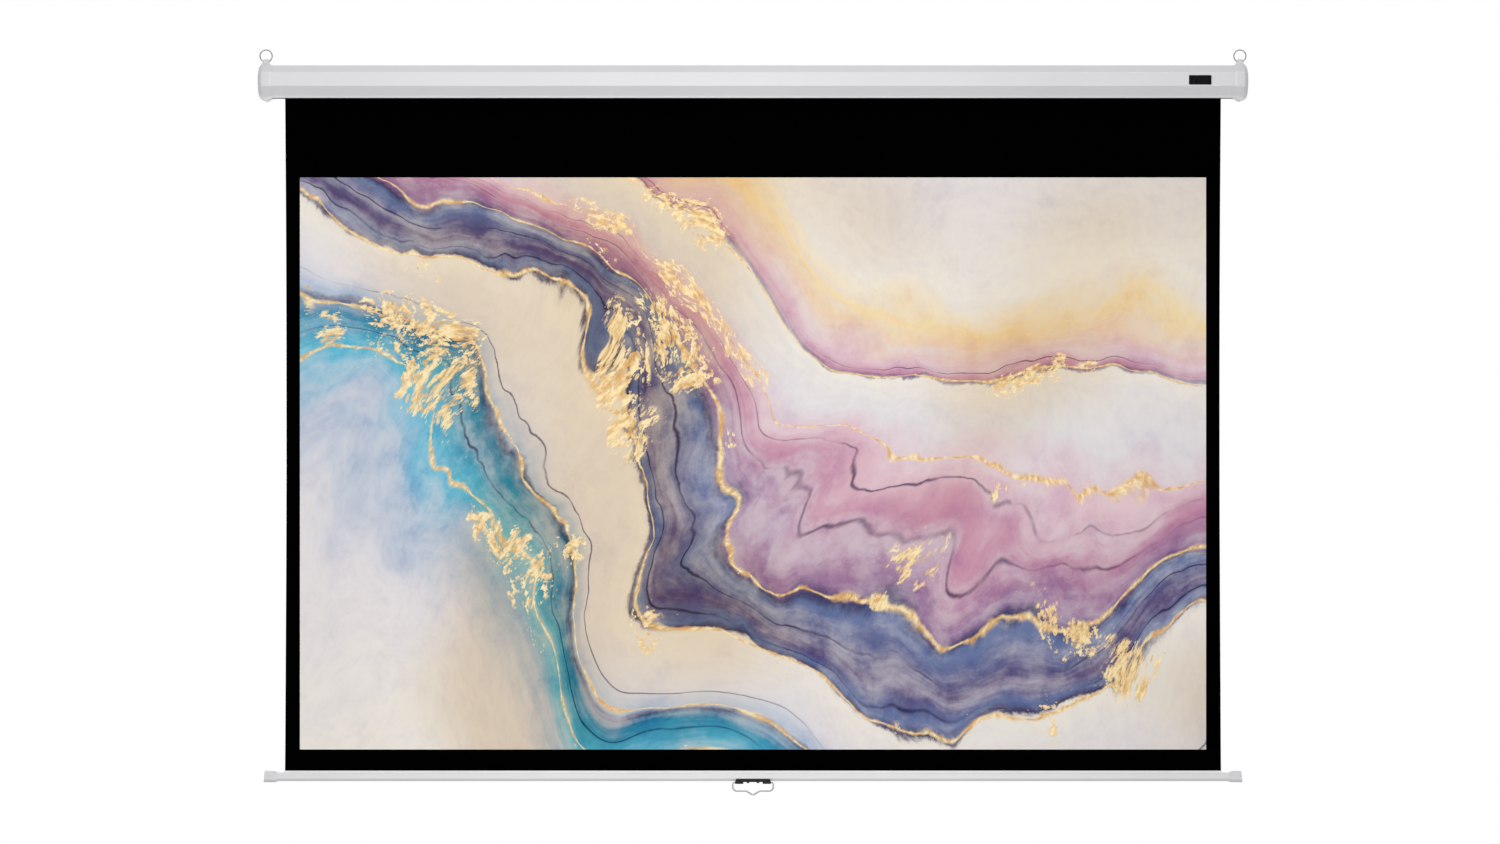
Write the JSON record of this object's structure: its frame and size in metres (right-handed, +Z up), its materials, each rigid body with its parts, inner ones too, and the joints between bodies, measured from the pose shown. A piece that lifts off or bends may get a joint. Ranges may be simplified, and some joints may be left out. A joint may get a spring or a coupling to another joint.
{
  "type": "pull down projector screen",
  "caption": "Manual pull-down projection screen with a spring roller in a white case, black-bordered matt screen, weighted bar, wire pull handle and hanging rings.",
  "frame": {"origin": "middle of the case's flat rear face, where it lies against the wall", "axes": "+X to the right seen from the front, along the case; +Y into the wall; +Z up"},
  "size_m": [2.209, 0.0725, 1.6666],
  "materials": {
    "case_white": "smooth satin white powder coat on folded steel",
    "cap_white": "satin white moulded plastic",
    "bar_white": "satin white paint on an aluminium extrusion",
    "black_plastic": "satin black moulded plastic",
    "zinc_steel": "bright zinc plate",
    "black_steel": "black finish on small steel screws",
    "chrome_wire": "bright plated round wire",
    "spring_steel": "oiled spring steel",
    "nylon": "natural nylon",
    "screen_white": "matt white coated vinyl on woven fabric",
    "screen_black": "matt black coating"
  },
  "bodies": {
    "case": {"case_shell": "case_white", "right_end_cap": "cap_white", "left_end_cap": "cap_white", "right_end_plate": "zinc_steel", "left_end_plate": "zinc_steel", "right_cap_screw_upper": "zinc_steel", "left_cap_screw_upper": "zinc_steel", "right_cap_screw_lower": "zinc_steel", "left_cap_screw_lower": "zinc_steel", "right_plate_rivet_rear": "zinc_steel", "left_plate_rivet_rear": "zinc_steel", "right_plate_rivet_front": "zinc_steel", "left_plate_rivet_front": "zinc_steel", "name_badge": "black_plastic", "idler_bush": "nylon", "spindle": "zinc_steel", "rod_anchor": "nylon", "rod_guide": "nylon", "torsion_spring": "spring_steel", "ratchet_wheel": "zinc_steel", "spindle_clip": "spring_steel"},
    "right_ring": {"right_hanging_ring": "chrome_wire"},
    "left_ring": {"left_hanging_ring": "chrome_wire"},
    "roller": {"roller_tube": "zinc_steel", "idler_plug": "nylon", "idler_pin": "zinc_steel", "right_plug_rivet": "zinc_steel", "left_plug_rivet": "zinc_steel", "wound_fabric": "screen_black", "lock_plug": "black_plastic", "lock_bush": "nylon", "pawl_pin_1": "zinc_steel", "pawl_pin_2": "zinc_steel"},
    "pawl_1": {"pawl_1": "zinc_steel"},
    "pawl_2": {"pawl_2": "zinc_steel"},
    "bar": {"weight_bar": "bar_white", "ballast_rod": "zinc_steel", "hem_clamp": "cap_white", "hem_rod": "nylon", "right_bar_cap": "cap_white", "left_bar_cap": "cap_white", "handle_bracket": "black_plastic", "left_bracket_screw": "black_steel", "right_bracket_screw": "black_steel", "fabric_hem": "screen_white", "bottom_border": "screen_black", "screen_fabric": "screen_white", "top_drop_border": "screen_black", "right_side_border": "screen_black", "left_side_border": "screen_black"},
    "handle": {"handle_bail": "chrome_wire"}
  },
  "joints": [
    {"name": "screen_drop", "type": "slide", "parent": "case", "child": "bar", "axis": [0, 0, 1], "range_m": [0, 1.4931], "deforming": ["screen_fabric", "top_drop_border", "right_side_border", "left_side_border"]},
    {"name": "roller_spin", "type": "hinge", "parent": "case", "child": "roller", "pos_m": [0, -0.036, 0.002], "axis": [1, 0, 0], "range_deg": [0, 3600]},
    {"name": "pawl_1_swing", "type": "hinge", "parent": "roller", "child": "pawl_1", "pos_m": [-1.0718, -0.02476, 0.01194], "axis": [1, 0, 0], "range_deg": [0, 16]},
    {"name": "pawl_2_swing", "type": "hinge", "parent": "roller", "child": "pawl_2", "pos_m": [-1.0718, -0.04723, -0.00794], "axis": [1, 0, 0], "range_deg": [0, 16]},
    {"name": "right_ring_swing", "type": "hinge", "parent": "case", "child": "right_ring", "pos_m": [1.0863, -0.03, 0.0446], "axis": [1, 0, 0], "range_deg": [-90, 90]},
    {"name": "left_ring_swing", "type": "hinge", "parent": "case", "child": "left_ring", "pos_m": [-1.0863, -0.03, 0.0446], "axis": [1, 0, 0], "range_deg": [-90, 90]},
    {"name": "handle_swing", "type": "hinge", "parent": "bar", "child": "handle", "pos_m": [0, -0.01462, -1.56355], "axis": [1, 0, 0], "range_deg": [-90, 90]}
  ],
  "couplings": [
    {"joint": "roller_spin", "follows": "screen_drop", "rad_per_m": 42.08}
  ]
}
